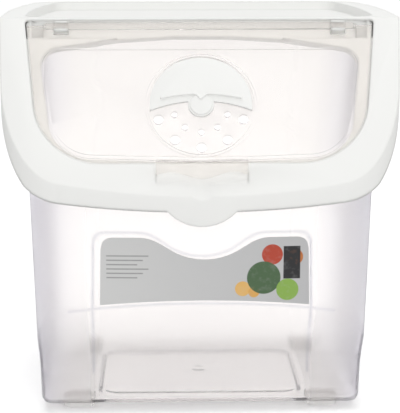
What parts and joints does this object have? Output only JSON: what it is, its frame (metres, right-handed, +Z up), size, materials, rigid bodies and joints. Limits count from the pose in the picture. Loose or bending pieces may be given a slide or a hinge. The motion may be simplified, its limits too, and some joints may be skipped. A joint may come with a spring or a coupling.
{
  "type": "potato storage bin",
  "caption": "Translucent tapered kitchen bin with a white lid frame, a sloping see-through flip door and a half-moon vent dial",
  "frame": {"origin": "on the table under the middle of the lid", "axes": "+X across the bin, -Y towards the front, +Z up"},
  "size_m": [0.292, 0.2354, 0.2905],
  "materials": {
    "bin_body": "translucent polypropylene, finely frosted with a clearer window band",
    "front_label": "printed film, silver grey, soft gloss",
    "lid_frame": "white polypropylene, fine satin",
    "flip_door": "translucent polypropylene, smooth",
    "vent_dial": "white polypropylene, fine satin"
  },
  "bodies": {
    "bin": {"bin_body": "bin_body", "front_label": "front_label"},
    "lid": {"lid_frame": "lid_frame"},
    "door": {"flip_door": "flip_door"},
    "dial": {"vent_dial": "vent_dial"}
  },
  "joints": [
    {"name": "lid_lift", "type": "slide", "parent": "bin", "child": "lid", "axis": [0, 0, 1], "range_m": [0, 0.14]},
    {"name": "door_hinge", "type": "hinge", "parent": "lid", "child": "door", "pos_m": [0, -0.04667, 0.28431], "axis": [-1, 0, 0], "range_deg": [0, 155]},
    {"name": "vent_turn", "type": "hinge", "parent": "door", "child": "dial", "pos_m": [0, -0.08083, 0.23113], "axis": [0, -0.8482, 0.5297], "range_deg": [0, 180]}
  ]
}
